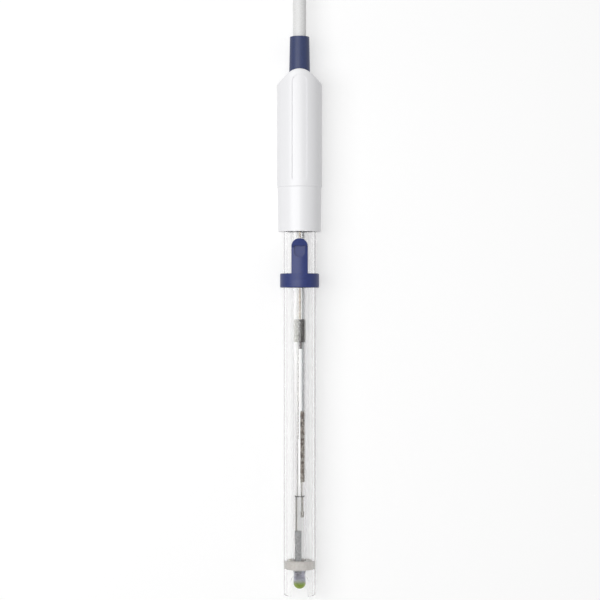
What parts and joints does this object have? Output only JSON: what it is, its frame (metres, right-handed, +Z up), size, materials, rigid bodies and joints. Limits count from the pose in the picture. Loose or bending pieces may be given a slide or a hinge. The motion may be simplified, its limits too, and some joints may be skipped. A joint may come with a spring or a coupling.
{
  "type": "combination pH electrode",
  "caption": "Combination pH electrode: clear shaft over a glass stem and bulb, white head, blue sliding refill cover, fixed cable with bayonet and phono plugs.",
  "frame": {"origin": "on the surface that the electrode lies on, under the middle of its length from the tip of the shaft to the end of the strain relief", "axes": "+Y along the electrode from its sensing tip to its cable, +Z up, out of the front with the label panel and the refill cover's thumb tab"},
  "size_m": [0.0351, 0.4592, 0.0223],
  "materials": {
    "clear_polysulfone": "clear, polished",
    "black_seal_resin": "satin",
    "porous_ceramic": "unglazed",
    "stem_glass": "clear",
    "membrane_glass": "clear, tinted",
    "sensor_glass": "clear",
    "nickel_wire": "drawn",
    "silver_wire": "drawn",
    "silver_chloride": "matt",
    "grey_tube": "satin",
    "black_sleeve_plastic": "satin",
    "silicone_rubber": "translucent, matt",
    "bronze_wire": "drawn",
    "beige_epoxy": "satin",
    "white_abs": "satin moulded",
    "navy_rubber": "satin moulded",
    "blue_silicone": "satin moulded",
    "cable_jacket": "satin",
    "white_nylon": "satin",
    "black_pvc": "satin",
    "nickel_plate": "bright plated",
    "gold_plate": "bright plated",
    "white_ptfe": "satin",
    "copper_wire": "drawn"
  },
  "bodies": {
    "electrode": {"bayonet_body": "nickel_plate", "bayonet_boot": "black_pvc", "bayonet_core": "copper_wire", "bayonet_insulator": "white_ptfe", "bayonet_pin": "gold_plate", "black_sleeve": "black_sleeve_plastic", "bottom_seal": "beige_epoxy", "bronze_lead": "bronze_wire", "cable_cores": "copper_wire", "cable_hank": "cable_jacket", "cable_lead": "cable_jacket", "cable_splitter": "black_pvc", "cable_tail": "cable_jacket", "capillary_tube": "grey_tube", "ceramic_junction": "porous_ceramic", "chamber_plug": "beige_epoxy", "collar_snap_ring": "nickel_plate", "crimp_ferrules": "nickel_plate", "glass_stem": "stem_glass", "hank_tie": "black_pvc", "head_cap": "white_abs", "head_collar": "white_abs", "head_potting": "beige_epoxy", "membrane_bulb": "membrane_glass", "ph_leg": "cable_jacket", "phono_boot": "black_pvc", "phono_core": "copper_wire", "phono_insulator": "white_ptfe", "phono_pin": "nickel_plate", "phono_ring": "nickel_plate", "phono_shell": "black_pvc", "reference_element": "silver_chloride", "reference_wire": "silver_wire", "sensor_capsule": "sensor_glass", "sensor_leads": "nickel_wire", "sensor_leg": "cable_jacket", "shaft_tube": "clear_polysulfone", "silicone_stopper": "silicone_rubber", "silver_lead_off": "silver_wire", "strain_relief": "navy_rubber"},
    "cover": {"refill_cover": "blue_silicone"},
    "plug_collar": {"bayonet_collar": "nickel_plate"}
  },
  "joints": [
    {"name": "cover_slide", "type": "slide", "parent": "electrode", "child": "cover", "axis": [0, -1, 0], "range_m": [-0.002, 0.014]},
    {"name": "collar_turn", "type": "hinge", "parent": "electrode", "child": "plug_collar", "pos_m": [0.001, 0.34, 0.00725], "axis": [0, 1, 0], "continuous": true}
  ]
}
